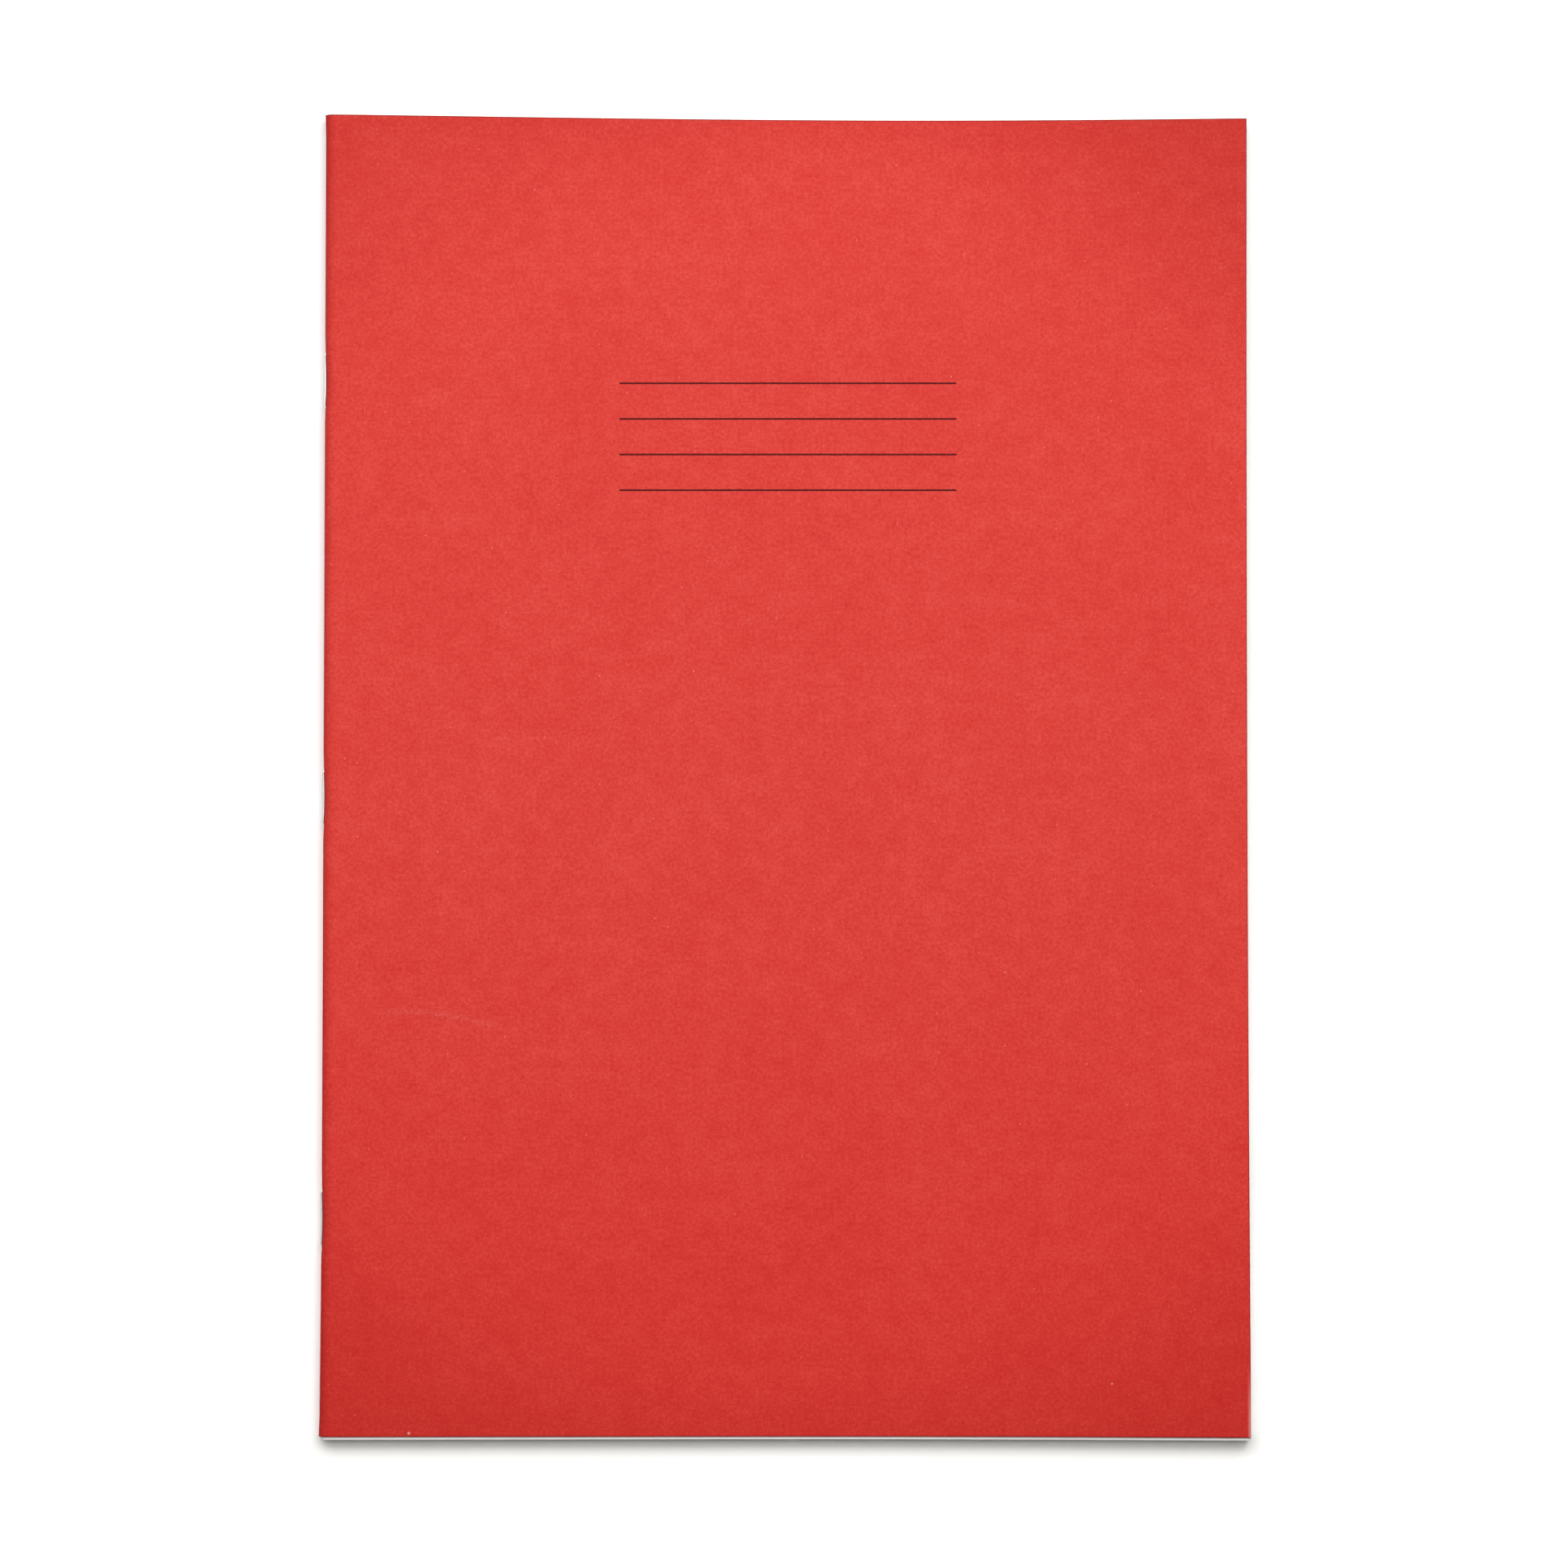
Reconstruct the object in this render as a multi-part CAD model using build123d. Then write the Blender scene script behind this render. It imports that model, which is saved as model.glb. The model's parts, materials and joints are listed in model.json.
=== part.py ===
from build123d import *
import os

# A stapled exercise book, closed and lying on its back cover.
# Folded sheets of writing paper are nested in a folded card cover, and wire staples go through all the folds.
# Every fold is a half ring about one line, the fold axis, so the leaves nest when the book is shut and turn
# about that line when it opens. Each sheet is a front leaf, a fold and a back leaf, and so is the cover.
# Millimetres. +X runs to the fore-edge, +Y to the head and +Z up. The origin is at the middle of the underside.

# Size of the book
book_height = 297.0         # head to tail, as trimmed
book_width = 208.0          # outside of the spine to the fore-edge
sheet_count = 12            # folded sheets, two leaves each

# Stock
paper_thickness = 0.095     # writing paper
card_thickness = 0.28       # cover card
air_gap = 0.01              # between one layer and the next

# Staples
staple_names = ["head", "middle", "tail"]
wire_diameter = 0.5
crown_length = 13.0         # over the outsides of the two legs
crown_lift = 0.4            # how far the crown's ends stand further out than its middle
crown_seat = 0.01           # between the crown's middle and the spine
bend_inside_radius = 0.3    # at each corner of the wire
tip_gap = 3.0               # between the two clinched ends
head_inset = 60.0           # head edge to the centre of the first staple
tail_inset = 49.0           # tail edge to the centre of the last staple

# Clearances
hole_clearance = 0.03       # round each leg in its holes
core_clearance = 0.08       # round the clinched ends inside the innermost fold
swing_clearance = 0.15      # between a leg and the leaves that turn past it
seam_gap = 0.01             # between a fold and the leaf that carries it on

# Layers, as radii about the fold axis. Shut, the same radii are heights above and below it
wire_radius = wire_diameter / 2
layer_pitch = paper_thickness + air_gap
core_radius = wire_radius + core_clearance
cover_inner = core_radius + sheet_count * layer_pitch
cover_outer = cover_inner + card_thickness

# Places in the frame
staple_reach = crown_seat + wire_diameter + crown_lift
fore_edge_x = (book_width + staple_reach) / 2
fold_axis_x = fore_edge_x - book_width + cover_outer
fold_axis_z = cover_outer
fold_flat = wire_radius + swing_clearance
leg_offset = (crown_length - wire_diameter) / 2
first_staple_y = book_height / 2 - head_inset
last_staple_y = tail_inset - book_height / 2
staple_step = (last_staple_y - first_staple_y) / (len(staple_names) - 1)
staple_places = [first_staple_y + i * staple_step for i in range(len(staple_names))]


def sheet_radii(sheet):
    """Inner and outer radius of a sheet's fold. Sheet 1 lies next to the cover."""
    inner = core_radius + (sheet_count - sheet) * layer_pitch
    return inner, inner + paper_thickness


def flat_leaf(inner, outer, side):
    """One flat leaf from its fold to the fore-edge: side 1 is above the fold axis, side -1 below it."""
    start = fold_axis_x + fold_flat + seam_gap
    middle = Pos((start + fore_edge_x) / 2, 0, fold_axis_z + side * (inner + outer) / 2)
    return middle * Box(fore_edge_x - start, book_height, outer - inner)


def leg_holes():
    """A round hole for each staple leg, from the fold axis out through the spine."""
    length = 2 * cover_outer
    hole = Cylinder(wire_radius + hole_clearance, length, rotation=(0, 90, 0))
    places = [y + end * leg_offset for y in staple_places for end in (-1, 1)]
    return [Pos(fold_axis_x - length / 2, y, fold_axis_z) * hole for y in places]


def fold(inner, outer):
    """A half ring with a short flat at each end, as long as the book is high, with the staple holes in it."""
    thickness = outer - inner
    right_half = Pos(outer, 0) * Rectangle(2 * outer, 4 * outer)
    profile = Circle(outer) - Circle(inner) - right_half
    for side in (-1, 1):
        profile += Pos(fold_flat / 2, side * (inner + outer) / 2) * Rectangle(fold_flat, thickness)
    strip = extrude(Plane.XZ * profile, amount=book_height / 2, both=True)
    return Pos(fold_axis_x, 0, fold_axis_z) * strip - leg_holes()


def staple(centre_y):
    """A bent wire: a bowed crown outside the spine, two legs, and two ends clinched along the fold axis."""
    crown_middle = -(cover_outer + crown_seat + wire_radius)
    crown_end = crown_middle - crown_lift
    half = [(0, tip_gap / 2), (0, leg_offset), (crown_end, leg_offset)]
    other_half = [(x, -y) for x, y in reversed(half)]
    crown = ThreePointArc(half[-1], (crown_middle, 0), other_half[0])
    path = Wire(Polyline(*half).edges() + crown.edges() + Polyline(*other_half).edges())
    ends = [path @ 0, path @ 1]
    corners = [v for v in path.vertices() if all((Vector(v) - end).length > wire_radius for end in ends)]
    path = path.fillet_2d(bend_inside_radius + wire_radius, corners)
    section = Plane(origin=path @ 0, z_dir=path % 0) * Circle(wire_radius)
    wire = sweep(section, path=path)
    straight_volume = section.area * path.length
    print(f"staple wire {path.length:.2f} mm long, volume {wire.volume:.4f} of {straight_volume:.4f} cubic mm")
    return Pos(fold_axis_x, centre_y, fold_axis_z) * wire


def book():
    """Every node of the book, by name."""
    nodes = {
        "cover_front": flat_leaf(cover_inner, cover_outer, 1),
        "cover_spine": fold(cover_inner, cover_outer),
        "cover_back": flat_leaf(cover_inner, cover_outer, -1),
    }
    for sheet in range(1, sheet_count + 1):
        radii = sheet_radii(sheet)
        nodes[f"sheet_{sheet:02d}_front_leaf"] = flat_leaf(*radii, 1)
        nodes[f"sheet_{sheet:02d}_fold"] = fold(*radii)
        nodes[f"sheet_{sheet:02d}_back_leaf"] = flat_leaf(*radii, -1)
    for name, y in zip(staple_names, staple_places):
        nodes[f"staple_{name}"] = staple(y)
    return nodes


os.makedirs("parts", exist_ok=True)
for name, solid in book().items():
    export_step(solid, f"parts/{name}.step")

print(f"fold axis at x {fold_axis_x:.4f}, z {fold_axis_z:.4f}; closed book {2 * cover_outer:.3f} mm thick")
print(f"spine reaches {cover_outer:.3f} mm from the fold axis, and the staples {staple_reach:.3f} mm further")
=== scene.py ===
# %% [markdown]
# # A stapled exercise book
# The real object is sixteen plain pieces: a red card folded once, twelve sheets of writing paper folded
# once and nested in it, and three wire staples through all the folds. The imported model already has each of
# them in its place. This lesson lays better-looking pieces over it, gives them their finishes, and lights
# and frames them.

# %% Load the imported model
import json
import math

import bpy
import numpy as np
from mathutils import Matrix, Vector


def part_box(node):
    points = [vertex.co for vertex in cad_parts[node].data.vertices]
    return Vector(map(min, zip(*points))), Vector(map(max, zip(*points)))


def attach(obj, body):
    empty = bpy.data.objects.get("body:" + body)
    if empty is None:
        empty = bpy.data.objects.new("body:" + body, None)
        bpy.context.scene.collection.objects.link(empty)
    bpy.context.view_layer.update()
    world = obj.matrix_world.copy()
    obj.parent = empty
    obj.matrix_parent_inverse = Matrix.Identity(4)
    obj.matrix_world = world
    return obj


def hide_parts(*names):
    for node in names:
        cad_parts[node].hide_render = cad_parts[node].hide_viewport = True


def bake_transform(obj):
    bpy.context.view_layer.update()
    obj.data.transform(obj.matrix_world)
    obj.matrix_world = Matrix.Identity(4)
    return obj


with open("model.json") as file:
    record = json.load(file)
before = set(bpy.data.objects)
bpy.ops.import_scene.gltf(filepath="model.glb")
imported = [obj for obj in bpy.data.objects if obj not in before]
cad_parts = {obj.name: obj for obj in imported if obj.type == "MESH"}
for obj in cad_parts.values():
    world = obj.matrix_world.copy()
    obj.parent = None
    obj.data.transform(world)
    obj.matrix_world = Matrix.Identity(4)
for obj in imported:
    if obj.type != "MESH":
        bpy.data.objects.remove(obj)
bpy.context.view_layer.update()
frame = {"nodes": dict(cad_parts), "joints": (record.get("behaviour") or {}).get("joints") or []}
MM = 0.001

# %% [markdown]
# ## Sizes
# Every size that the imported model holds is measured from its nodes, so the pieces made here land on it. The
# whole book is described about one line, the fold axis: x runs from that line to the fore-edge, z up from
# it, and y to the head. A fold is a half ring about the line, so a sheet's height above the line is also
# its fold's radius.

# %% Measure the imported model
joint_place = {joint["name"]: joint["pos_m"] for joint in frame["joints"]}
fold_x, _, fold_z = joint_place["book_open"]
sheet_count = sum(name.endswith("_fold") for name in frame["nodes"])

card_low, card_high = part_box("cover_front")
fore_edge = card_high.x - fold_x
half_height = card_high.y
card_inner = card_low.z - fold_z
card_outer = card_high.z - fold_z
card_radius = (card_inner + card_outer) / 2
card_thickness = card_outer - card_inner

leaf_boxes = [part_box(f"sheet_{sheet:02d}_front_leaf") for sheet in range(1, sheet_count + 1)]
sheet_radius = np.array([(low.z + high.z) / 2 - fold_z for low, high in leaf_boxes])
paper_thickness = leaf_boxes[0][1].z - leaf_boxes[0][0].z

staple_names = ["head", "middle", "tail"]
staple_boxes = [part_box(f"staple_{name}") for name in staple_names]
staple_y = np.array([(low.y + high.y) / 2 for low, high in staple_boxes])
wire_radius = (staple_boxes[0][1].z - staple_boxes[0][0].z) / 2
leg_offset = (staple_boxes[0][1].y - staple_boxes[0][0].y) / 2 - wire_radius
leg_y = np.sort(np.concatenate([staple_y - leg_offset, staple_y + leg_offset]))
print(f"book {2 * half_height / MM:.1f} high, leaf {fore_edge / MM:.2f} from the fold axis,",
      f"card {card_thickness / MM:.2f}, paper {paper_thickness / MM:.3f} mm")

# %% [markdown]
# ## How a folded sheet lies
# A sheet is a surface with two parameters: the distance along it from the crest of its fold, and the height
# up the page. It could be a flat plane with a bend modifier, but a formula puts each layer exactly where
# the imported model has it. The columns of the grid are close together at the fold, where the sheet bends
# when the book opens. The rows crowd round each staple leg, so that the crest can have a true half hole
# there.

# %% Rows and columns of the grid
rim_width = 0.3 * MM
hole_room = 0.09 * MM
hole_radius = wire_radius + hole_room
hole_fade = 1.2 * MM
row_count, hole_row_count = 61, 7
leaf_fold_steps, card_fold_steps = 8, 14
first_step = 0.02 * MM


def nearest_leg(y):
    """Distance from each height y to the nearest staple leg."""
    return np.abs(y[:, None] - leg_y[None, :]).min(axis=1)


even_rows = np.linspace(-half_height, half_height, row_count)
even_rows = even_rows[nearest_leg(even_rows) > 2 * hole_radius]
rim_rows = np.array([rim_width - half_height, half_height - rim_width])
hole_turns = np.linspace(-np.pi / 2, np.pi / 2, hole_row_count)
hole_rows = (leg_y[:, None] + hole_radius * np.sin(hole_turns)[None, :]).ravel()
rows = np.sort(np.concatenate([even_rows, rim_rows, hole_rows]))
hole_half = np.sqrt(np.maximum(hole_radius ** 2 - nearest_leg(rows) ** 2, 0.0))


def fold_columns(radius, steps):
    """Distances from the crest round a quarter turn of that radius, the first one very short so that the
    two halves of a sheet shade alike where they meet."""
    quarter = radius * np.pi / 2
    return np.concatenate([[0.0, first_step], np.linspace(quarter / steps, quarter, steps)])


near_flat = np.linspace(0.4 * MM, 10 * MM, 17)
far_flat = np.linspace(17 * MM, fore_edge - 2 * MM, 23)
end_flat = np.array([fore_edge - rim_width, fore_edge])
leaf_flat = np.concatenate([near_flat, far_flat, end_flat])
leaf_columns = len(fold_columns(sheet_radius[0], leaf_fold_steps)) + len(leaf_flat)
print(len(rows), "rows up the page and", leaf_columns, "columns across half a sheet")

# %% [markdown]
# ## The knife, and how the pile lies
# The book was trimmed in one cut a side, and the knife wandered: the head edge dips by a millimetre and a
# half, the tail bows in by a fifth of one, and the front card ends a little short of the leaves at the
# tail, so a white line of paper shows under it. Half a sine wave gives such a bow. Away from the spine the
# leaves share the room between the two cards unevenly, as handled paper does, and random but seeded curves
# give those gaps.

# %% Trim bows and gaps between the leaves
head_slope = 0.92 * MM
head_bow = 0.85 * MM
tail_bow = 0.2 * MM
bow_lean = 1.2
fore_bow = 0.35 * MM
fore_inset = 0.2 * MM
front_short = 0.68 * MM
crest_length = 2.5 * MM
gap_spread, gap_wave = 0.8, 260 * MM
cut_wander, cut_wave = 0.03 * MM, 120 * MM
chance = np.random.default_rng(48)


def smooth_step(value, low, high):
    """0 below low, 1 above high, and t * t * (3 - 2 * t) between, where t is the share of the way."""
    t = np.clip((value - low) / (high - low), 0.0, 1.0)
    return t * t * (3.0 - 2.0 * t)


def wander(draws, places, longest, waves=4):
    """Smooth random curves, one a draw: a sum of cosines along the places, divided by its spread. The
    n-th has 1/n of the longest wave's length and height, and a random start."""
    number = np.arange(1, waves + 1)[None, :, None]
    start = chance.uniform(0.0, 2 * np.pi, (draws, waves, 1))
    curves = np.cos(2 * np.pi * number * places[None, None, :] / longest + start) / number
    return curves.sum(axis=1) / np.sqrt((0.5 / number ** 2).sum())


def knife_bow(flat):
    """Half a sine wave from the fold to the fore-edge, with its top a little past the middle."""
    return np.sin(np.pi * np.clip(flat / fore_edge, 0.0, 1.0) ** bow_lean)


leaf_count = 2 * sheet_count
spare = 2 * card_inner - leaf_count * paper_thickness
loose_gap = np.exp(gap_spread * wander(leaf_count + 1, rows, gap_wave))
loose_gap *= spare / loose_gap.sum(axis=0)
leaf_number = np.arange(leaf_count)[:, None]
loose_height = np.cumsum(loose_gap, axis=0)[:-1] + (leaf_number + 0.5) * paper_thickness - card_inner
shut_height = np.concatenate([-sheet_radius, sheet_radius[::-1]])[:, None]
leaf_lift = loose_height - shut_height
leaf_trim = cut_wander * wander(leaf_count, rows, cut_wave)
print(f"{leaf_count} leaves share {spare / MM:.2f} mm of air,",
      f"and the largest gap is {loose_gap.max() / MM:.3f} mm")

# %% [markdown]
# ## Half a sheet, as a grid of points
# The same function lays both halves of every sheet and of the card. Up to a quarter turn the sheet follows
# its fold, and beyond that it is flat, apart from a slow wave of a tenth of a millimetre that grows from
# the bottom of the book to its top. The outer and inner faces stand half a thickness off that middle
# surface.

# %% Lay half a folded sheet
settle_from, settle_to = 10 * MM, 55 * MM
ear_length = 0.7 * MM
wave_height = 0.07 * MM
wave_from, wave_to = 12 * MM, 70 * MM
fore_rise, rise_from = 0.22 * MM, 110 * MM
pile_waves = (
    {"across": 170 * MM, "up": 390 * MM, "start": 0.6, "share": 1.0},
    {"across": 240 * MM, "up": -150 * MM, "start": 2.1, "share": 0.7},
)


def slow_wave(flat, y):
    """Height of the top of the pile over a dead flat one: two crossing cosines and a slight rise at the
    fore-edge, both fading out at the spine."""
    ripple = 0.0
    for wave in pile_waves:
        turn = 2 * np.pi * (flat / wave["across"] + y / wave["up"]) + wave["start"]
        ripple = ripple + wave["share"] * np.cos(turn)
    rise = fore_rise * smooth_step(flat, rise_from, fore_edge)
    return smooth_step(flat, wave_from, wave_to) * wave_height * ripple + rise


def lay_half(columns, radius, thickness, side, lift=0.0, trim=0.0, short=0.0, crest_short=0.0, ear=0.0):
    """Outer and inner faces of half a folded sheet, as grids of points, with each point's distance from
    the crest.

    A point that is s from the crest turns s / radius round the fold, and no more than a quarter turn;
    what is left of s runs on flat. Side 1 is the half above the fold axis and side -1 the one below. At
    a staple hole the sheet starts at the turn whose sine is half the hole's width over the inner face's
    radius. Lift moves a leaf to its loose height. Trim moves the cut at the fore-edge, and short the one
    at the tail, with crest_short in its place at the crest. Ear pulls the ends of the crest outwards.
    """
    hole_depth = radius * np.arcsin(np.minimum(hole_half / (radius - thickness / 2), 1.0))
    pull = np.clip(1.0 - columns / hole_fade, 0.0, 1.0)
    distance = columns[:, None] + pull[:, None] * hole_depth[None, :]
    turn = np.minimum(distance / radius, np.pi / 2)
    flat = np.maximum(distance - radius * np.pi / 2, 0.0)
    normal_x = -np.cos(turn)
    normal_z = side * np.sin(turn)

    head = half_height - head_slope * np.clip(flat / fore_edge, 0.0, 1.0) - head_bow * knife_bow(flat)
    tail_cut = crest_short + (short - crest_short) * smooth_step(distance, 0.0, crest_length)
    tail = tail_bow * knife_bow(flat) - half_height + tail_cut
    y = tail + (rows / half_height + 1.0) / 2 * (head - tail)
    fore_cut = fore_inset + fore_bow * np.cos(np.pi * rows / (2 * half_height)) + trim
    x = radius * normal_x + flat - fore_cut * (flat / fore_edge) ** 2
    x = x + ear * np.exp((np.abs(rows) - half_height) / ear_length) * normal_x
    z = radius * normal_z + lift * smooth_step(flat, settle_from, settle_to)

    def face(offset):
        face_z = z + offset * normal_z
        face_z = face_z + (face_z + card_outer) / (2 * card_outer) * slow_wave(flat, y)
        return np.stack([fold_x + x + offset * normal_x, y, fold_z + face_z], axis=-1)

    return face(thickness / 2), face(-thickness / 2), side * distance


# %% [markdown]
# ## From two grids to a closed sheet
# A thin sheet is two grids of quads and a strip of quads round the rim. A Solidify modifier would do the
# same, but here the rim's place is known, and the cut edges can carry a mark for their wear. The UV map is
# the sheet spread out flat, in metres: distance from the crest one way and height up the page the other.
# Ink, ruling and fibres read it, so they stay on the paper when it bends. The inner face's map is moved up
# by a whole number of ruled lines.

# %% Build a closed sheet
line_pitch = 12 * MM
inner_face_shift = 50 * line_pitch
crease_angle = math.radians(40)


def signed_volume(points, quads):
    """Volume inside the quads: the sum of a . (b x c) / 6 over the two triangles of each. It is positive
    if the faces point out."""
    a, b, c, d = (points[quads[:, corner]] for corner in range(4))
    return (np.einsum("ij,ij->i", a, np.cross(b, c)) + np.einsum("ij,ij->i", a, np.cross(c, d))).sum() / 6


def add_object(name, data):
    """A new object in the scene, from a mesh, a lamp or a camera."""
    made = bpy.data.objects.new(name, data)
    bpy.context.scene.collection.objects.link(made)
    return made


def add_piece(name, mesh, map_name, loop_uv):
    """An object from the mesh, with its UV map, smooth but for edges sharper than the crease angle."""
    mesh.uv_layers.new(name=map_name).data.foreach_set("uv", loop_uv.astype(np.float32).ravel())
    mesh.shade_smooth()
    mesh.set_sharp_from_angle(angle=crease_angle)
    return add_object(name, mesh)


def closed_sheet(name, outer, inner, distance, fore_edge_cut):
    """A closed solid from the two faces: quads over each grid, and a wall of quads that follows the rim."""
    columns, row_total = distance.shape
    count = columns * row_total
    index = np.arange(count).reshape(columns, row_total)
    corners = [index[:-1, :-1], index[1:, :-1], index[1:, 1:], index[:-1, 1:]]
    outside = np.stack(corners, axis=-1).reshape(-1, 4)
    rim = np.concatenate([index[:, 0], index[-1, 1:], index[-2::-1, -1], index[0, -2:0:-1]])
    ahead = np.roll(rim, -1)
    wall = np.stack([ahead, rim, rim + count, ahead + count], axis=-1)
    quads = np.concatenate([outside, outside[:, ::-1] + count, wall])
    points = np.concatenate([outer.reshape(-1, 3), inner.reshape(-1, 3)])
    on_inner_face = np.arange(len(quads)) // len(outside) == 1
    if signed_volume(points, quads) < 0:
        quads = quads[:, ::-1]

    spread = np.stack([distance, outer[..., 1]], axis=-1).reshape(-1, 2)
    loop_uv = spread[quads % count]
    loop_uv[on_inner_face, :, 1] += inner_face_shift
    cut = np.zeros((columns, row_total))
    cut[:, [0, -1]] = 1.0
    if fore_edge_cut:
        cut[-1, :] = 1.0

    mesh = bpy.data.meshes.new(name)
    mesh.vertices.add(len(points))
    mesh.vertices.foreach_set("co", points.astype(np.float32).ravel())
    mesh.loops.add(quads.size)
    mesh.loops.foreach_set("vertex_index", quads.astype(np.int32).ravel())
    mesh.polygons.add(len(quads))
    mesh.polygons.foreach_set("loop_start", np.arange(0, quads.size, 4, dtype=np.int32))
    mesh.update(calc_edges=True)
    wear = mesh.attributes.new("cut_edge", "FLOAT", "POINT")
    wear.data.foreach_set("value", np.tile(cut.ravel(), 2).astype(np.float32))
    return add_piece(name, mesh, "flat_sheet", loop_uv)


# %% [markdown]
# ## Wiring a finish
# Each finish is a small tree of nodes. A few helpers keep the wiring readable: one makes a node and fills
# its sockets, others do a sum, a smooth change or a mix of colours, and one sets up a finish with its
# shader and the piece's own map in millimetres.

# %% Helpers for finishes
def feed(tree, socket, value):
    """A wire into the socket if the value is another socket, and a plain value otherwise."""
    if isinstance(value, bpy.types.NodeSocket):
        tree.links.new(value, socket)
    else:
        socket.default_value = value


def put(tree, kind, sockets, **settings):
    """A new node of that kind, with its settings made and its sockets fed."""
    made = tree.nodes.new(kind)
    for key, value in settings.items():
        setattr(made, key, value)
    for key, value in sockets.items():
        feed(tree, made.inputs[key], value)
    return made


def work_out(tree, operation, *values):
    """The result of one sum on plain values or sockets."""
    sockets = dict(enumerate(values))
    return put(tree, "ShaderNodeMath", sockets, operation=operation).outputs["Value"]


def between(tree, value, low, high, at_low=0.0, at_high=1.0):
    """A smooth change from at_low to at_high as the value goes from low to high, and no change beyond
    them."""
    sockets = {"Value": value, "From Min": low, "From Max": high, "To Min": at_low, "To Max": at_high}
    made = put(tree, "ShaderNodeMapRange", sockets, interpolation_type="SMOOTHSTEP")
    return made.outputs["Result"]


def noise(tree, place, scale, detail, roughness=0.55):
    """Cloudy noise about 0.5, with about that many lumps to a millimetre."""
    sockets = {"Vector": place, "Scale": scale, "Detail": detail, "Roughness": roughness}
    return put(tree, "ShaderNodeTexNoise", sockets).outputs["Fac"]


def product(tree, first, *others):
    """The first value times each of the others."""
    for other in others:
        first = work_out(tree, "MULTIPLY", first, other)
    return first


def tint(tree, amount, below, above):
    """The colour below where the amount is 0, the colour above where it is 1, and mixed between."""
    mixer = tree.nodes.new("ShaderNodeMix")
    mixer.data_type = "RGBA"
    sockets = [socket for socket in mixer.inputs if socket.enabled]
    for socket, value in zip(sockets, (amount, below, above)):
        feed(tree, socket, value)
    return next(socket for socket in mixer.outputs if socket.enabled)


def scaled(tree, vector, factor):
    """The vector times a plain value or a socket."""
    sockets = {0: vector, "Scale": factor}
    return put(tree, "ShaderNodeVectorMath", sockets, operation="SCALE").outputs["Vector"]


def new_finish(name, map_name):
    """An empty finish with its shader, and the piece's own map in millimetres as a vector and as its two
    parts."""
    finish = bpy.data.materials.new(name)
    finish.use_nodes = True
    tree = finish.node_tree
    shader = tree.nodes["Principled BSDF"]
    spread = put(tree, "ShaderNodeUVMap", {}, uv_map=map_name).outputs["UV"]
    place = scaled(tree, spread, 1.0 / MM)
    parts = put(tree, "ShaderNodeSeparateXYZ", {"Vector": place})
    return finish, tree, shader, place, parts.outputs["X"], parts.outputs["Y"]


def wire_up(tree, shader, **sockets):
    """Feeds results and plain values into the shader's sockets."""
    for key, value in sockets.items():
        feed(tree, shader.inputs[key.replace("_", " ")], value)


# %% [markdown]
# ## The red card
# The cover is an uncoated card, dyed through. Close up it is grainy at half a millimetre, softly mottled at
# a few, and crossed by short pale fibres, pale specks and a few dark ones. Several layers of noise, the
# finest the strongest, give the grain. Noise stretched along a line and cut off high gives short streaks,
# and three such layers at different angles look like felted fibres. A picture would show all this too, but
# noise has no seams.

# %% Grain of the red card
dark_dye = (0.66, 0.026, 0.019, 1.0)
middle_dye = (0.75, 0.054, 0.041, 1.0)
pale_dye = (0.87, 0.108, 0.082, 1.0)
pale_speck_colour = (0.95, 0.40, 0.34, 1.0)
dark_speck_colour = (0.30, 0.012, 0.012, 1.0)
grain_weight, felt_weight, cloud_weight, fibre_weight = 1.35, 0.45, 0.2, 0.16
fibre_stretch = (0.7, 5.0, 1.0)
fibre_angles_and_spots = ((0.35, 11.0), (-0.7, 47.0), (1.5, 83.0))
specks_per_mm = 0.33

card_finish, tree, shader, place, along, up = new_finish("red_card", "flat_sheet")
grain = noise(tree, place, scale=1.2, detail=2.5, roughness=0.95)
felt = noise(tree, place, scale=0.22, detail=1.5, roughness=0.75)
cloud = noise(tree, place, scale=0.04, detail=1.0)

fibre = 0.0
for angle, spot in fibre_angles_and_spots:
    sockets = {"Vector": place, "Location": (spot, spot, 0.0), "Rotation": (0.0, 0.0, angle)}
    turned = put(tree, "ShaderNodeMapping", {**sockets, "Scale": fibre_stretch}).outputs["Vector"]
    streak = between(tree, noise(tree, turned, scale=1.0, detail=1.5), low=0.62, high=0.78)
    fibre = work_out(tree, "MAXIMUM", fibre, streak)

tone = work_out(tree, "MULTIPLY_ADD", fibre, fibre_weight, 0.5)
for layer, weight in ((grain, grain_weight), (felt, felt_weight), (cloud, cloud_weight)):
    tone = work_out(tree, "MULTIPLY_ADD", work_out(tree, "SUBTRACT", layer, 0.5), weight, tone)
dye = put(tree, "ShaderNodeValToRGB", {"Fac": tone})
dye.color_ramp.elements[0].color = dark_dye
dye.color_ramp.elements[1].color = pale_dye
dye.color_ramp.elements.new(0.5).color = middle_dye

cells = put(tree, "ShaderNodeTexVoronoi", {"Vector": place, "Scale": specks_per_mm})
cell_chance = put(tree, "ShaderNodeSeparateColor", {"Color": cells.outputs["Color"]}).outputs["Red"]
speck = between(tree, cells.outputs["Distance"], low=0.035, high=0.08, at_low=1.0, at_high=0.0)
pale_share = between(tree, cell_chance, low=0.45, high=1.0, at_low=0.0, at_high=0.4)
dark_share = between(tree, cell_chance, low=0.0, high=0.15, at_low=0.35, at_high=0.0)
card_colour = tint(tree, product(tree, speck, pale_share), dye.outputs["Color"], pale_speck_colour)
card_colour = tint(tree, product(tree, speck, dark_share), card_colour, dark_speck_colour)
print("card grain:", len(tree.nodes), "nodes")

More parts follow.
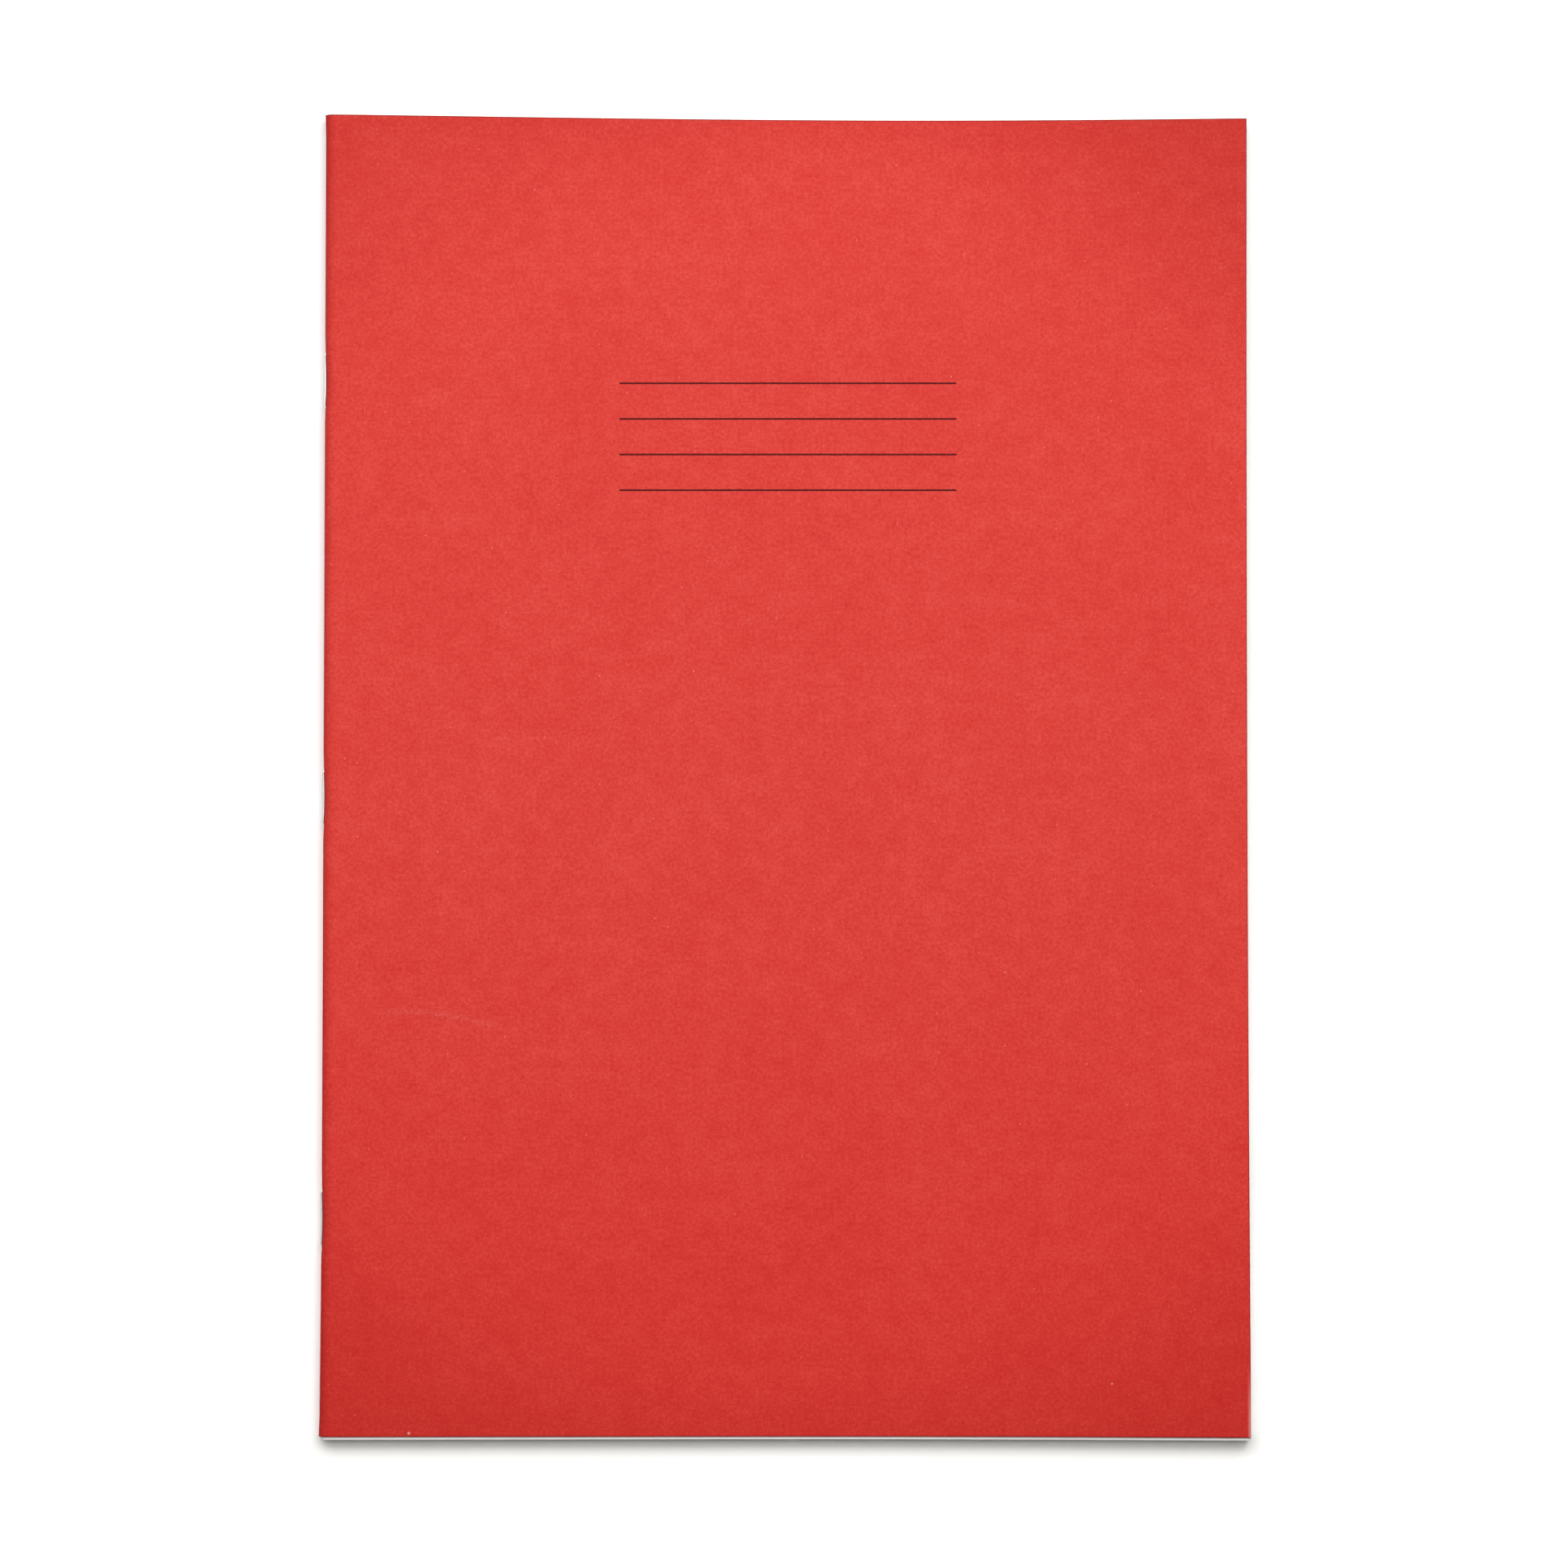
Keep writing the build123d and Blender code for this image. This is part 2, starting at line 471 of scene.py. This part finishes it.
# %% [markdown]
# ## Ink, wear and painted light on the card
# Four dark title lines are printed on the front, eight millimetres apart. A line is a band in the flat map:
# the distance to the nearest multiple of the pitch, cut off at half the line's thickness, and kept to the
# lines' block. Painted shade darkens the card a little along its rounded fold and towards its corners,
# most at the top one by the fore-edge, and a little at the head and the tail, and the knife leaves its cut
# edges darker. Towards the tail the green and blue are darker, painted in place of a sheen that is stronger
# towards the head, and the whole colour is painted lighter towards the tail and darker towards the head,
# against the lamps' falloff. A pale strip along the fore-edge near the tail is a painted highlight, where a
# curled edge would catch the light. One curved rub and two small chips are where the real cover has them.

# %% Printed lines
title_left, title_right = 67.7, 143.5
title_top, title_pitch, title_lines = 87.74, 8.03, 4
title_half_width = 0.2
title_ink = (0.085, 0.004, 0.006, 1.0)
ink_edge = 0.03


def printed_line(tree, off_line, half_width):
    """1 within half the line's width of its middle and 0 outside it, with a narrow soft edge."""
    low, high = half_width - ink_edge, half_width + ink_edge
    return between(tree, off_line, low=low, high=high, at_low=1.0, at_high=0.0)


line_number = work_out(tree, "DIVIDE", work_out(tree, "SUBTRACT", up, title_top), title_pitch)
nearest_line = work_out(tree, "ROUND", line_number)
off_line = work_out(tree, "ABSOLUTE", work_out(tree, "SUBTRACT", line_number, nearest_line))
off_line = work_out(tree, "MULTIPLY", off_line, title_pitch)
ragged = work_out(tree, "MULTIPLY_ADD", grain, 2 * ink_edge, -ink_edge)
line_ink = printed_line(tree, work_out(tree, "ADD", off_line, ragged), title_half_width)
for part, low, high in ((along, title_left, title_right), (nearest_line, 0.5 - title_lines, 0.5)):
    past_low = work_out(tree, "GREATER_THAN", part, low)
    line_ink = product(tree, line_ink, past_low, work_out(tree, "LESS_THAN", part, high))
print(title_lines, "title lines,", title_pitch, "mm apart")

# %% Wear and painted light of the card
card_width = (fore_edge + card_radius * math.pi / 2) / MM
card_top = half_height / MM
face_shift = inner_face_shift / MM
rub_centre, rub_radius = (17.6, -130.1), 77.0
tail_chip, fore_chip = (21.1, -147.0), (177.9, -135.9)
wear_and_highlight_colour = (0.95, 0.40, 0.36, 1.0)
cut_darkening = 0.6


def near_place(tree, where, centre_along, centre_up):
    """Distance in the flat map from one place on the card."""
    sockets = {0: where, 1: (centre_along, centre_up, 0.0)}
    return put(tree, "ShaderNodeVectorMath", sockets, operation="DISTANCE").outputs["Value"]


face_number = work_out(tree, "ROUND", work_out(tree, "DIVIDE", up, face_shift))
height = work_out(tree, "MULTIPLY_ADD", face_number, -face_shift, up)
across = work_out(tree, "ABSOLUTE", along)
edge_up = work_out(tree, "SUBTRACT", card_top, work_out(tree, "ABSOLUTE", height))
on_panel = put(tree, "ShaderNodeCombineXYZ", {"X": across, "Y": height}).outputs["Vector"]
from_middle = near_place(tree, on_panel, card_width / 2, 0.0)
from_fore_corner = near_place(tree, on_panel, card_width, card_top)
# Painted shade: darker towards the corners, most at the top one by the fore-edge, near the head and tail and
# along the rounded fold. The darker cut edges join these in one factor.
corners = between(tree, from_middle, low=120.0, high=182.0, at_low=1.0, at_high=0.87)
ends = between(tree, edge_up, low=-2.0, high=14.0, at_low=0.97, at_high=1.0)
painted_fore_corner_shade = between(tree, from_fore_corner, low=10.0, high=75.0, at_low=0.94, at_high=1.0)
painted_fold_shade = between(tree, across, low=0.8, high=4.0, at_low=0.84, at_high=1.0)
cut_edge = put(tree, "ShaderNodeAttribute", {}, attribute_name="cut_edge").outputs["Fac"]
cut = work_out(tree, "MULTIPLY_ADD", cut_edge, -cut_darkening, 1.0)
painted_shade_and_cut_wear = product(tree, corners, ends, painted_fore_corner_shade, painted_fold_shade, cut)

from_rub_centre = near_place(tree, place, *rub_centre)
off_rub = work_out(tree, "ABSOLUTE", work_out(tree, "SUBTRACT", from_rub_centre, rub_radius))
rub_band = between(tree, off_rub, low=0.1, high=1.1, at_low=1.0, at_high=0.0)
rub_start = between(tree, along, low=11.0, high=22.0)
rub_end = between(tree, along, low=30.0, high=48.0, at_low=1.0, at_high=0.0)
rub_grain = between(tree, grain, low=0.35, high=0.7, at_low=0.02, at_high=0.12)
rub = product(tree, rub_band, rub_start, rub_end, rub_grain)

chip = between(tree, near_place(tree, place, *tail_chip), low=0.22, high=0.42, at_low=0.8, at_high=0.0)
other_chip = between(tree, near_place(tree, place, *fore_chip), low=0.12, high=0.3, at_low=0.7, at_high=0.0)
off_fore_edge = work_out(tree, "SUBTRACT", card_width, along)
# Painted highlight: a pale strip along the fore-edge near the tail, where a curled edge would catch the
# light. The rub and the chips joined to it are real wear.
painted_highlight_edge = between(tree, off_fore_edge, low=0.2, high=0.9, at_low=1.0, at_high=0.0)
painted_highlight_end = between(tree, up, low=-145.0, high=-130.0, at_low=0.55, at_high=0.0)
wear_and_painted_highlight = product(tree, painted_highlight_edge, painted_highlight_end)
for mark in (rub, chip, other_chip):
    wear_and_painted_highlight = work_out(tree, "MAXIMUM", wear_and_painted_highlight, mark)

# Painted sheen: green and blue darker towards the tail, in place of a sheen that is stronger at the head.
painted_sheen_fade_to_tail = between(tree, height, low=-150.0, high=10.0, at_low=0.76, at_high=1.0)
# Painted light and shade: lighter towards the tail and darker towards the head, against the lamps' falloff.
painted_light_gradient = between(tree, height, low=-150.0, high=150.0, at_low=1.06, at_high=0.955)
green_blue_painted_light_and_cut_wear = product(tree, work_out(tree, "POWER", painted_shade_and_cut_wear, 2.0), painted_sheen_fade_to_tail)
painted_light_and_cut_wear = put(tree, "ShaderNodeCombineXYZ", {"X": painted_shade_and_cut_wear, "Y": green_blue_painted_light_and_cut_wear, "Z": green_blue_painted_light_and_cut_wear}).outputs["Vector"]
painted_light_and_cut_wear = scaled(tree, painted_light_and_cut_wear, painted_light_gradient)
shaded = put(tree, "ShaderNodeVectorMath", {0: card_colour, 1: painted_light_and_cut_wear}, operation="MULTIPLY")
inked = tint(tree, line_ink, shaded.outputs["Vector"], title_ink)
card_colour = tint(tree, wear_and_painted_highlight, inked, wear_and_highlight_colour)

fine_tooth = noise(tree, place, scale=3.5, detail=3.0, roughness=0.6)
tooth = work_out(tree, "MULTIPLY_ADD", fibre, 0.3, fine_tooth)
relief = put(tree, "ShaderNodeBump", {"Height": tooth, "Strength": 0.35, "Distance": 0.03 * MM})
roughness = between(tree, grain, low=0.25, high=0.75, at_low=0.8, at_high=0.68)
wire_up(tree, shader, Base_Color=card_colour, Roughness=roughness, Normal=relief.outputs["Normal"],
        Specular_IOR_Level=0.16)
print("card finish:", len(tree.nodes), "nodes")

# %% [markdown]
# ## The writing paper
# The pages are smooth white paper with grey ruled lines from edge to edge, a line every twelve millimetres.
# The ruling is the same band formula as the title lines, without ends. Held up close, paper is cloudy and
# has a tooth.

# %% Finish of the writing paper
line_half_width = 0.11
duller_paper, brighter_paper = (0.885, 0.88, 0.86, 1.0), (0.925, 0.92, 0.905, 1.0)
ruling_ink = (0.30, 0.32, 0.35, 1.0)

paper_finish, tree, shader, place, along, up = new_finish("ruled_paper", "flat_sheet")
cloud = noise(tree, place, scale=0.22, detail=5.0, roughness=0.6)
tooth = noise(tree, place, scale=4.0, detail=3.0, roughness=0.6)
paper_colour = tint(tree, between(tree, cloud, low=0.25, high=0.75), duller_paper, brighter_paper)

line_place = work_out(tree, "FRACT", work_out(tree, "DIVIDE", up, line_pitch / MM))
off_line = work_out(tree, "ABSOLUTE", work_out(tree, "SUBTRACT", line_place, 0.5))
off_line = work_out(tree, "MULTIPLY", off_line, line_pitch / MM)
coverage = between(tree, tooth, low=0.2, high=0.6, at_low=0.7, at_high=0.95)
ruling = product(tree, printed_line(tree, off_line, line_half_width), coverage)
paper_colour = tint(tree, ruling, paper_colour, ruling_ink)

relief = put(tree, "ShaderNodeBump", {"Height": tooth, "Strength": 0.2, "Distance": 0.02 * MM})
roughness = between(tree, tooth, low=0.2, high=0.8, at_low=0.78, at_high=0.9)
wire_up(tree, shader, Base_Color=paper_colour, Roughness=roughness, Normal=relief.outputs["Normal"],
        Specular_IOR_Level=0.3)
print("paper finish:", len(tree.nodes), "nodes, a ruled line every", line_pitch / MM, "mm")

# %% [markdown]
# ## The staple wire
# Staples are drawn from bright steel wire, and drawing leaves long fine scratches. Noise that is stretched
# along the wire's own map gives them, and turns the roughness and the colour a little.

# %% Finish of the staple wire
darker_steel, brighter_steel = (0.42, 0.415, 0.40, 1.0), (0.64, 0.64, 0.63, 1.0)
tarnish_colour = (0.30, 0.28, 0.25, 1.0)
scratch_stretch = (0.35, 14.0, 1.0)

wire_finish, tree, shader, place, along, up = new_finish("bright_wire", "along_wire")
stretched = put(tree, "ShaderNodeMapping", {"Vector": place, "Scale": scratch_stretch}).outputs["Vector"]
scratch = noise(tree, stretched, scale=1.0, detail=4.0, roughness=0.65)
tarnish = noise(tree, place, scale=0.8, detail=3.0)
wire_colour = tint(tree, between(tree, scratch, low=0.3, high=0.7), darker_steel, brighter_steel)
tarnish_share = between(tree, tarnish, low=0.55, high=0.8, at_low=0.0, at_high=0.35)
wire_colour = tint(tree, tarnish_share, wire_colour, tarnish_colour)
relief = put(tree, "ShaderNodeBump", {"Height": scratch, "Strength": 0.15, "Distance": 0.01 * MM})
roughness = between(tree, scratch, low=0.25, high=0.75, at_low=0.36, at_high=0.2)
wire_up(tree, shader, Base_Color=wire_colour, Roughness=roughness, Normal=relief.outputs["Normal"],
        Metallic=1.0)
print("wire finish:", len(tree.nodes), "nodes")

# %% [markdown]
# ## The cover
# The card is one piece, but it moves in three ways: the back panel lies still, the spine rolls over as the
# book opens, and the front panel also turns by itself. So it is laid in four strips that meet edge to edge.
# A tight staple draws the spine in where it holds it, so the points there are moved in a little.

# %% Lay the cover
spine_reach = 1.5 * MM
panel_bend = 5.0 * MM
spine_ear = 0.18 * MM
waist_depth = 0.36 * MM
waist_fade = (2 * MM, 9 * MM)
waist_width = 14 * MM
spine_inset = 0.42 * MM
inset_rise = (-175 * MM, -85 * MM)
quarter_turn = card_radius * np.pi / 2
spine_flat = np.linspace(0.5 * MM, spine_reach, 3)
spine_columns = np.concatenate([fold_columns(card_radius, card_fold_steps), quarter_turn + spine_flat])
bend_columns = np.linspace(spine_reach, spine_reach + panel_bend, 22)
panel_flat = np.concatenate([bend_columns, np.linspace(8 * MM, fore_edge - 2 * MM, 34), end_flat])
panel_columns = quarter_turn + panel_flat


def bend_between(piece):
    """Bakes the piece's placement into its mesh."""
    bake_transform(piece)


def inset_at(y):
    """How far the spine lies in from its nominal place at each height: less towards the tail than
    elsewhere."""
    return spine_inset * smooth_step(y, *inset_rise)


def draw_in(piece):
    """Moves the fold's points towards the fore-edge: by the inset all along the spine, and next to each
    staple also by the waist's depth. The waist fades further up and down the spine, and both fade away
    from it."""
    points = np.empty(3 * len(piece.data.vertices), np.float32)
    piece.data.vertices.foreach_get("co", points)
    points = points.reshape(-1, 3)
    from_staple = np.abs(points[:, 1:2] - staple_y[None, :]).min(axis=1)
    share = 1.0 - smooth_step(from_staple, *waist_fade)
    depth = waist_depth * share + inset_at(points[:, 1])
    points[:, 0] += depth * (1.0 - smooth_step(points[:, 0] - fold_x, 0.0, waist_width))
    piece.data.vertices.foreach_set("co", points.ravel())
    piece.data.update()


cover_pieces = {}
for side, word in ((1, "front"), (-1, "back")):
    short = front_short if side > 0 else 0.0
    for part, columns, reaches_edge in (("spine", spine_columns, False), ("panel", panel_columns, True)):
        faces = lay_half(columns, card_radius, card_thickness, side,
                         short=short, crest_short=front_short, ear=spine_ear)
        piece = closed_sheet(f"card_{word}_{part}", *faces, reaches_edge)
        piece.data.materials.append(card_finish)
        cover_pieces[word, part] = piece
    bend_between(cover_pieces[word, "spine"])
    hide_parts("cover_spine")
    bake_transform(cover_pieces[word, "panel"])
    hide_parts(f"cover_{word}")
for piece in cover_pieces.values():
    draw_in(piece)
card_faces = sum(len(piece.data.polygons) for piece in cover_pieces.values())
print("cover:", len(cover_pieces), "strips,", card_faces, "faces")

# %% [markdown]
# ## The sheets
# Each sheet is laid as a front half and a back half, which meet at the crest of the fold.

# %% Lay the sheets
page_faces = 0
for sheet in range(1, sheet_count + 1):
    radius = sheet_radius[sheet - 1]
    columns = np.concatenate([fold_columns(radius, leaf_fold_steps), radius * np.pi / 2 + leaf_flat])
    for side, word, place_in_pile in ((1, "front", leaf_count - sheet), (-1, "back", sheet - 1)):
        faces = lay_half(columns, radius, paper_thickness, side,
                         lift=leaf_lift[place_in_pile], trim=leaf_trim[place_in_pile])
        piece = closed_sheet(f"sheet_{sheet:02d}_{word}_half", *faces, True)
        piece.data.materials.append(paper_finish)
        bend_between(piece)
        draw_in(piece)
        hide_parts(f"sheet_{sheet:02d}_{word}_leaf", f"sheet_{sheet:02d}_fold")
        page_faces += len(piece.data.polygons)
print("sheets:", sheet_count, "with", page_faces, "faces in all")

# %% [markdown]
# ## The staples
# A staple is one bent wire: a crown outside the spine that bows in to touch it, two legs through the folds,
# and two ends turned in along the middle of the centre spread. The line of the wire is drawn with sharp
# corners first. Averaging each point with its neighbours over a short length then rounds the corners as
# bent wire is rounded, and a circle is carried along the result.

# %% Bend the staples
crown_lift = 0.2 * MM
crown_gap = 0.01 * MM
tip_gap = 3.0 * MM
corner_ease = 0.78 * MM
line_step = 0.02 * MM
tip_round = 0.16 * MM
drawn_points = 200
wire_sides, wire_rings, tip_rings = 20, 130, 6
tip_flatness = 0.82


def wire_line():
    """Points along the middle of the wire, in x and y about the staple's centre: a straight end, a leg,
    the crown as a parabola, and the same mirrored. Each straight end starts early by the length that the
    averaging uses up."""
    crown_middle = -(card_outer + crown_gap + wire_radius)
    steps = np.linspace(0.0, 1.0, drawn_points)
    end_y = tip_gap / 2 - corner_ease + steps * (leg_offset - tip_gap / 2 + corner_ease)
    straight = np.stack([0.0 * steps, end_y], axis=1)
    leg = np.stack([(crown_middle - crown_lift) * steps, leg_offset + 0.0 * steps], axis=1)[1:]
    crown_y = leg_offset * (1.0 - 2.0 * steps)
    crown = np.stack([crown_middle - crown_lift * (crown_y / leg_offset) ** 2, crown_y], axis=1)[1:]
    other = np.concatenate([straight, leg])[::-1] * (1.0, -1.0)
    sharp = np.concatenate([straight, leg, crown, other[1:]])
    length = np.concatenate([[0.0], np.cumsum(np.linalg.norm(np.diff(sharp, axis=0), axis=1))])
    even = np.arange(0.0, length[-1], line_step)
    window = np.ones(2 * round(corner_ease / line_step) + 1)
    window /= window.sum()
    eased = [np.convolve(np.interp(even, length, part), window, "valid") for part in sharp.T]
    return np.stack(eased, axis=1)


def wire_tube(name, line, centre_y):
    """A circle carried along the line. Near each tip its radius falls off as an ellipse does, to a small
    flat end."""
    length = np.concatenate([[0.0], np.cumsum(np.linalg.norm(np.diff(line, axis=0), axis=1))])
    tips = tip_round * (1.0 - np.cos(np.linspace(0.0, np.pi / 2, tip_rings)))
    even = np.linspace(0.0, length[-1], wire_rings)[2:-2]
    stations = np.concatenate([tips, even, length[-1] - tips[::-1]])
    middle = np.stack([np.interp(stations, length, part) for part in line.T], axis=1)
    heading = np.gradient(middle, stations, axis=0)
    heading /= np.linalg.norm(heading, axis=1, keepdims=True)
    from_tip = np.minimum(stations, length[-1] - stations)
    radius = wire_radius * np.sqrt(1.0 - tip_flatness * np.clip(1.0 - from_tip / tip_round, 0.0, 1.0) ** 2)
    around = 2 * np.pi * np.arange(wire_sides) / wire_sides
    across = radius[:, None] * np.cos(around)[None, :]
    x = middle[:, :1] + heading[:, 1:] * across
    y = middle[:, 1:] - heading[:, :1] * across
    z = radius[:, None] * np.sin(around)[None, :]
    x = x + fold_x + waist_depth + inset_at(centre_y)
    points = np.stack([x, centre_y + y, fold_z + z], axis=-1).reshape(-1, 3)

    index = np.arange(points.shape[0]).reshape(len(stations), wire_sides)
    next_round = np.roll(index, -1, axis=1)
    quads = np.stack([index[:-1], index[1:], next_round[1:], next_round[:-1]], axis=-1).reshape(-1, 4)
    caps = [index[0].tolist(), index[-1, ::-1].tolist()]
    if signed_volume(points, quads) < 0:
        quads = quads[:, ::-1]
        caps = [cap[::-1] for cap in caps]
    mesh = bpy.data.meshes.new(name)
    mesh.from_pydata(points.tolist(), [], quads.tolist() + caps)
    corner = np.concatenate([quads.ravel(), np.concatenate(caps)])
    girth = 2 * np.pi * wire_radius / wire_sides
    loop_uv = np.stack([stations[corner // wire_sides], girth * (corner % wire_sides)], axis=1)
    return add_piece(name, mesh, "along_wire", loop_uv)


line = wire_line()
for name, centre_y in zip(staple_names, staple_y):
    piece = wire_tube(f"wire_{name}", line, centre_y)
    piece.data.materials.append(wire_finish)
    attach(piece, "spine")
    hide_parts(f"staple_{name}")
wire_length = np.linalg.norm(np.diff(line, axis=0), axis=1).sum()
print("staples:", len(staple_names), f"of {wire_length / MM:.1f} mm of wire")

# %% [markdown]
# ## Floor and light
# The book lies on a white sweep under a broad soft lamp that hangs a metre up, from over the middle of the
# book to well past the head. A second lamp leans in from beyond the head. So the tail drops a short shadow
# that fades from dark to nothing, the sides drop weak ones and the head almost none. Two weak warm lamps,
# low in front of the tail and of the fore-edge, light the cut edges and hardly touch the floor. To the
# lens, and in reflections, the floor near the book is whiter than white paper, and most of all at the tail,
# where less light falls. Further off it is plain white, as a studio sweep burns out. To the light that
# reaches the book it is grey, so the shadows stay deep.

# %% Floor
floor_half = 6.0
floor_drop = 0.05 * MM
corner_signs = np.array([[-1, -1], [1, -1], [1, 1], [-1, 1]], float)
floor_mesh = bpy.data.meshes.new("floor")
floor_points = np.concatenate([floor_half * corner_signs, np.full((4, 1), -floor_drop)], axis=1)
floor_mesh.from_pydata(floor_points.tolist(), [], [[0, 1, 2, 3]])
floor = add_object("floor", floor_mesh)


def seen_directly(tree):
    """1 for rays that the lens, a reflection or glass sends out, and 0 for light on its way to a
    surface."""
    path = put(tree, "ShaderNodeLightPath", {})
    seen = work_out(tree, "MAXIMUM", path.outputs["Is Camera Ray"], path.outputs["Is Glossy Ray"])
    return work_out(tree, "MAXIMUM", seen, path.outputs["Is Transmission Ray"])


floor_grey = (0.5, 0.5, 0.5, 1.0)
floor_tint = (1.0, 0.99, 0.96)
white = (1.0, 1.0, 1.0, 1.0)
sweep = bpy.data.materials.new("white_sweep")
sweep.use_nodes = True
tree = sweep.node_tree
tree.nodes.clear()
on_floor = put(tree, "ShaderNodeTexCoord", {}).outputs["Object"]
towards_head = put(tree, "ShaderNodeSeparateXYZ", {"Vector": on_floor}).outputs["Y"]
whiteness = between(tree, towards_head, low=-0.2, high=0.2, at_low=0.93, at_high=0.55)
plain = put(tree, "ShaderNodeBsdfDiffuse", {"Color": floor_grey}).outputs["BSDF"]
bright = put(tree, "ShaderNodeBsdfDiffuse", {"Color": scaled(tree, floor_tint, whiteness)}).outputs["BSDF"]
near_book = put(tree, "ShaderNodeAddShader", {0: plain, 1: bright}).outputs["Shader"]
far_off = put(tree, "ShaderNodeEmission", {"Color": white, "Strength": 1.0}).outputs["Emission"]
from_book = put(tree, "ShaderNodeVectorMath", {0: on_floor}, operation="LENGTH").outputs["Value"]
distant = between(tree, from_book, low=0.24, high=0.5)
looks = put(tree, "ShaderNodeMixShader", {"Fac": distant, 1: near_book, 2: far_off}).outputs["Shader"]
seen = seen_directly(tree)
chosen = put(tree, "ShaderNodeMixShader", {"Fac": seen, 1: plain, 2: looks}).outputs["Shader"]
put(tree, "ShaderNodeOutputMaterial", {"Surface": chosen})
floor_mesh.materials.append(sweep)
print("floor", 2 * floor_half, "m wide")

# %% Sky and lamps
sky_level = 0.04
world = bpy.data.worlds.new("studio")
bpy.context.scene.world = world
world.use_nodes = True
tree = world.node_tree
sky_strength = between(tree, seen_directly(tree), low=0.0, high=1.0, at_low=sky_level, at_high=1.0)
tree.nodes["Background"].inputs["Color"].default_value = white
tree.links.new(sky_strength, tree.nodes["Background"].inputs["Strength"])


def hang_lamp(name, width, height, watts, place, aim, colour=(1.0, 1.0, 1.0)):
    """A flat soft lamp of that size at that place, facing the aim, and hidden from the lens."""
    lamp = bpy.data.lights.new(name, "AREA")
    lamp.shape = "RECTANGLE"
    lamp.size, lamp.size_y = width, height
    lamp.energy = watts
    lamp.color = colour
    lamp_object = add_object(name, lamp)
    lamp_object.location = place
    lamp_object.rotation_mode = "QUATERNION"
    lamp_object.rotation_quaternion = (Vector(place) - Vector(aim)).to_track_quat("Z", "Y")
    lamp_object.visible_camera = False
    print(f"{name}: {width} by {height} m, {watts} W")


book_middle = (0.0, 0.0, 0.0)
low_lamp = {"width": 1.4, "height": 0.04, "aim": book_middle, "colour": (1.0, 0.92, 0.82)}
hang_lamp("softbox", width=2.0, height=1.26, watts=14.4, place=(0.0, 0.66, 1.0), aim=(0.0, 0.66, 0.0))
hang_lamp("head_lamp", width=1.8, height=0.7, watts=9.0, place=(0.0, 0.795, 0.9), aim=book_middle)
hang_lamp("tail_card", watts=3.0, place=(-0.3, -1.3, 0.025), **low_lamp)
hang_lamp("fore_card", watts=5.0, place=(1.3, 0.0, 0.025), **low_lamp)

# %% [markdown]
# ## The camera
# The book was seen from almost straight above, with the lens a little towards the tail. The lens and the
# tilt were worked out from the book's four edges in a square picture.

# %% Camera
camera_distance = 800 * MM
camera_aim = Vector((0.22 * MM, -2.19 * MM, 0.0))
camera_tilt = math.radians(1.68)
camera_pan = math.radians(0.09)
camera_roll = math.radians(0.02)
camera = bpy.data.cameras.new("camera")
camera.sensor_width = 36.0
camera.lens = 81.66
camera.clip_start, camera.clip_end = 0.01, 100.0
backward = Vector((math.sin(camera_pan), -math.sin(camera_tilt), 1.0)).normalized()
rightward = Vector((0.0, 1.0, 0.0)).cross(backward).normalized()
upward = backward.cross(rightward)
turned = Matrix((rightward, upward, backward)).transposed() @ Matrix.Rotation(camera_roll, 3, "Z")
camera_object = add_object("camera", camera)
camera_object.matrix_world = Matrix.Translation(camera_aim + camera_distance * backward) @ turned.to_4x4()
bpy.context.scene.camera = camera_object
bpy.context.scene.view_settings.view_transform = "Standard"
print("camera at", [round(part / MM, 1) for part in camera_object.matrix_world.translation], "mm")
